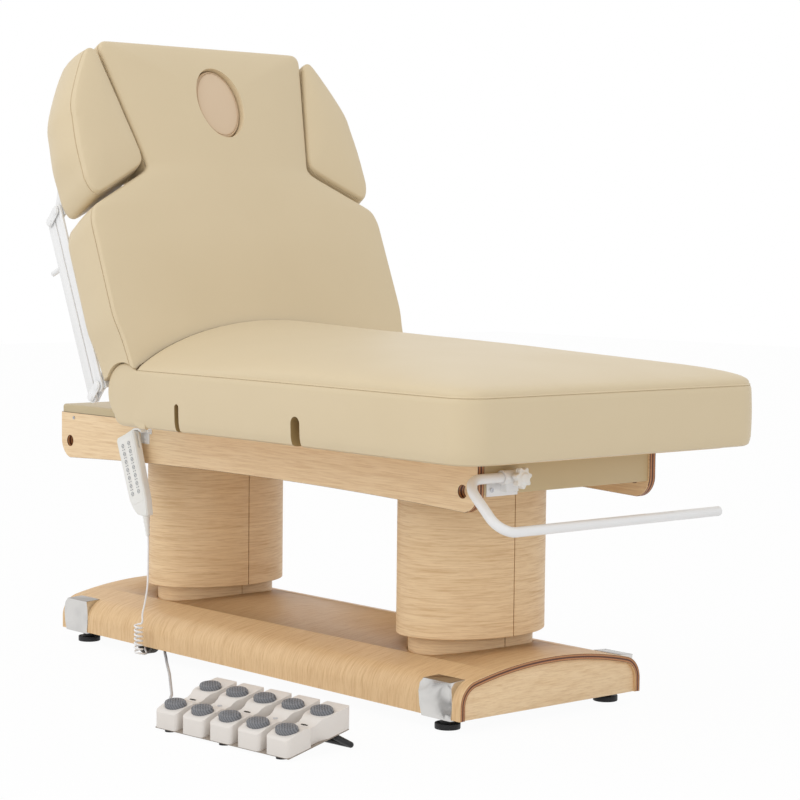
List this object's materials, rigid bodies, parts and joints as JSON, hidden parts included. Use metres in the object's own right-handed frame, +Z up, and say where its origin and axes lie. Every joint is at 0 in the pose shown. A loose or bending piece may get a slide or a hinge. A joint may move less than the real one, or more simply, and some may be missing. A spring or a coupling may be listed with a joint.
{
  "type": "spa treatment bed",
  "caption": "Electric spa bed on lifting columns: padded seat, hinged backrest with face opening and lowering arm pads, oak base and rails, foot control, handset, paper bar",
  "frame": {"origin": "middle of the object's box on the floor, without the free cords", "axes": "X runs along the bed to the foot end, Y across it away from the handset's side, Z up"},
  "size_m": [1.6056, 1.1078, 1.4214],
  "materials": {
    "upholstery": "satin vinyl over foam",
    "plug_upholstery": "satin vinyl over foam",
    "oak_shell": "satin light oak veneer on bent plywood, grain across",
    "oak_rail": "satin light oak veneer on plywood, grain along",
    "oak_column": "satin light oak veneer, grain level",
    "ply": "plain plywood",
    "beige_panel": "matt beige board",
    "polished_metal": "polished",
    "steel_tube": "plain drawn steel",
    "dark_steel": "dark grey paint",
    "white_steel": "white powder coat",
    "white_plastic": "off-white moulded plastic",
    "grey_rubber": "matt grey rubber",
    "black_rubber": "matt black rubber",
    "black_plastic": "matt black plastic",
    "taupe_plate": "taupe paint",
    "key_film": "membrane film",
    "cord_white": "smooth white cord sheath",
    "cord_grey": "smooth grey cord sheath"
  },
  "bodies": {
    "base": {"base_shell": "oak_shell", "base_end_panels": "oak_shell", "base_frame": "dark_steel", "corner_caps": "polished_metal", "control_box": "black_plastic", "inner_covers": "oak_column", "fixed_tubes": "steel_tube", "foot_plate": "taupe_plate", "foot_housings": "white_plastic", "foot_bail": "black_plastic", "foot_cord": "cord_grey", "curly_cord": "cord_white", "base_cord": "cord_white"},
    "foot_1": {"level_foot_1": "black_rubber"},
    "foot_2": {"level_foot_2": "black_rubber"},
    "foot_3": {"level_foot_3": "black_rubber"},
    "foot_4": {"level_foot_4": "black_rubber"},
    "pedal_1": {"pad_1": "grey_rubber"},
    "pedal_2": {"pad_2": "grey_rubber"},
    "pedal_3": {"pad_3": "grey_rubber"},
    "pedal_4": {"pad_4": "grey_rubber"},
    "pedal_5": {"pad_5": "grey_rubber"},
    "pedal_6": {"pad_6": "grey_rubber"},
    "pedal_7": {"pad_7": "grey_rubber"},
    "pedal_8": {"pad_8": "grey_rubber"},
    "pedal_9": {"pad_9": "grey_rubber"},
    "pedal_10": {"pad_10": "grey_rubber"},
    "lift": {"foot_cover": "oak_column", "foot_tube": "steel_tube"},
    "head_column": {"head_cover": "oak_column", "head_tube": "steel_tube"},
    "top": {"side_rails": "oak_rail", "top_end_panels": "beige_panel", "deck": "beige_panel", "top_frame": "dark_steel", "hinge_brackets": "white_steel", "seat_board": "ply", "seat_cushion": "upholstery", "seat_cheeks": "upholstery", "roll_holder": "white_steel", "handset_holder": "white_steel", "handset_case": "white_plastic", "handset_keys": "key_film", "handset_cord": "cord_white"},
    "paper_bar": {"paper_bar": "white_steel"},
    "star_knob": {"star_knob": "white_plastic"},
    "back": {"back_cushion": "upholstery", "back_roll": "upholstery", "back_board": "ply", "hinge_shaft": "steel_tube", "arm_mounts": "white_steel"},
    "face_plug": {"face_plug": "plug_upholstery"},
    "rear_bar_l": {"rear_bar_l": "white_steel"},
    "front_bar_l": {"front_bar_l": "white_steel"},
    "arm_l": {"arm_pad_l": "upholstery", "arm_bracket_l": "white_steel"},
    "rear_bar_r": {"rear_bar_r": "white_steel"},
    "front_bar_r": {"front_bar_r": "white_steel"},
    "arm_r": {"arm_pad_r": "upholstery", "arm_bracket_r": "white_steel"}
  },
  "joints": [
    {"name": "level_screw_1", "type": "hinge", "parent": "base", "child": "foot_1", "pos_m": [-0.7222, -0.09211, 0.04], "axis": [0, 0, 1], "continuous": true},
    {"name": "level_screw_2", "type": "hinge", "parent": "base", "child": "foot_2", "pos_m": [0.5514, -0.09211, 0.04], "axis": [0, 0, 1], "continuous": true},
    {"name": "level_screw_3", "type": "hinge", "parent": "base", "child": "foot_3", "pos_m": [-0.7222, 0.35989, 0.04], "axis": [0, 0, 1], "continuous": true},
    {"name": "level_screw_4", "type": "hinge", "parent": "base", "child": "foot_4", "pos_m": [0.5514, 0.35989, 0.04], "axis": [0, 0, 1], "continuous": true},
    {"name": "pedal_press_1", "type": "slide", "parent": "base", "child": "pedal_1", "axis": [-0.0183, 0.2433, -0.9698], "range_m": [0, 0.004], "stiffness_N_per_m": 1200, "springref_m": -0.003},
    {"name": "pedal_press_2", "type": "slide", "parent": "base", "child": "pedal_2", "axis": [-0.0183, 0.2433, -0.9698], "range_m": [0, 0.004], "stiffness_N_per_m": 1200, "springref_m": -0.003},
    {"name": "pedal_press_3", "type": "slide", "parent": "base", "child": "pedal_3", "axis": [-0.0183, 0.2433, -0.9698], "range_m": [0, 0.004], "stiffness_N_per_m": 1200, "springref_m": -0.003},
    {"name": "pedal_press_4", "type": "slide", "parent": "base", "child": "pedal_4", "axis": [-0.0183, 0.2433, -0.9698], "range_m": [0, 0.004], "stiffness_N_per_m": 1200, "springref_m": -0.003},
    {"name": "pedal_press_5", "type": "slide", "parent": "base", "child": "pedal_5", "axis": [-0.0183, 0.2433, -0.9698], "range_m": [0, 0.004], "stiffness_N_per_m": 1200, "springref_m": -0.003},
    {"name": "pedal_press_6", "type": "slide", "parent": "base", "child": "pedal_6", "axis": [-0.0183, 0.2433, -0.9698], "range_m": [0, 0.004], "stiffness_N_per_m": 1200, "springref_m": -0.003},
    {"name": "pedal_press_7", "type": "slide", "parent": "base", "child": "pedal_7", "axis": [-0.0183, 0.2433, -0.9698], "range_m": [0, 0.004], "stiffness_N_per_m": 1200, "springref_m": -0.003},
    {"name": "pedal_press_8", "type": "slide", "parent": "base", "child": "pedal_8", "axis": [-0.0183, 0.2433, -0.9698], "range_m": [0, 0.004], "stiffness_N_per_m": 1200, "springref_m": -0.003},
    {"name": "pedal_press_9", "type": "slide", "parent": "base", "child": "pedal_9", "axis": [-0.0183, 0.2433, -0.9698], "range_m": [0, 0.004], "stiffness_N_per_m": 1200, "springref_m": -0.003},
    {"name": "pedal_press_10", "type": "slide", "parent": "base", "child": "pedal_10", "axis": [-0.0183, 0.2433, -0.9698], "range_m": [0, 0.004], "stiffness_N_per_m": 1200, "springref_m": -0.003},
    {"name": "lift", "type": "slide", "parent": "base", "child": "lift", "axis": [0, 0, 1], "range_m": [0, 0.225], "deforming": ["curly_cord"]},
    {"name": "tilt", "type": "hinge", "parent": "lift", "child": "top", "pos_m": [0.3742, 0.13389, 0.512], "axis": [0, 1, 0], "range_deg": [0, 5.5]},
    {"name": "head_column_slide", "type": "slide", "parent": "lift", "child": "head_column", "axis": [0, 0, 1], "range_m": [0, 0.0865]},
    {"name": "paper_bar_swing", "type": "hinge", "parent": "top", "child": "paper_bar", "pos_m": [0.6736, -0.04361, 0.509], "axis": [0, 1, 0], "range_deg": [-38, 48]},
    {"name": "star_knob_turn", "type": "hinge", "parent": "top", "child": "star_knob", "pos_m": [0.6982, -0.04011, 0.509], "axis": [1, 0, 0], "continuous": true},
    {"name": "backrest", "type": "hinge", "parent": "top", "child": "back", "pos_m": [-0.3244, 0.13389, 0.624], "axis": [0, 1, 0], "range_deg": [-67.69, 0]},
    {"name": "face_plug_lift", "type": "slide", "parent": "back", "child": "face_plug", "axis": [0.9251, 0, 0.3796], "range_m": [0, 0.14]},
    {"name": "arm_drop_l", "type": "hinge", "parent": "back", "child": "rear_bar_l", "pos_m": [-0.44441, -0.26711, 0.60826], "axis": [0, 1, 0], "range_deg": [-22, 0]},
    {"name": "front_bar_turn_l", "type": "hinge", "parent": "back", "child": "front_bar_l", "pos_m": [-0.4205, -0.26711, 0.63429], "axis": [0, 1, 0], "range_deg": [-22, 0]},
    {"name": "arm_level_l", "type": "hinge", "parent": "rear_bar_l", "child": "arm_l", "pos_m": [-0.61317, -0.26711, 0.99843], "axis": [0, 1, 0], "range_deg": [0, 22]},
    {"name": "arm_drop_r", "type": "hinge", "parent": "back", "child": "rear_bar_r", "pos_m": [-0.44441, 0.53489, 0.60826], "axis": [0, 1, 0], "range_deg": [-22, 0]},
    {"name": "front_bar_turn_r", "type": "hinge", "parent": "back", "child": "front_bar_r", "pos_m": [-0.4205, 0.53489, 0.63429], "axis": [0, 1, 0], "range_deg": [-22, 0]},
    {"name": "arm_level_r", "type": "hinge", "parent": "rear_bar_r", "child": "arm_r", "pos_m": [-0.61317, 0.53489, 0.99843], "axis": [0, 1, 0], "range_deg": [0, 22]}
  ],
  "couplings": [
    {"joint": "head_column_slide", "follows": "tilt", "m_per_rad": 0.895},
    {"joint": "front_bar_turn_l", "follows": "arm_drop_l", "ratio": 1},
    {"joint": "arm_level_l", "follows": "arm_drop_l", "ratio": -1},
    {"joint": "front_bar_turn_r", "follows": "arm_drop_r", "ratio": 1},
    {"joint": "arm_level_r", "follows": "arm_drop_r", "ratio": -1}
  ]
}
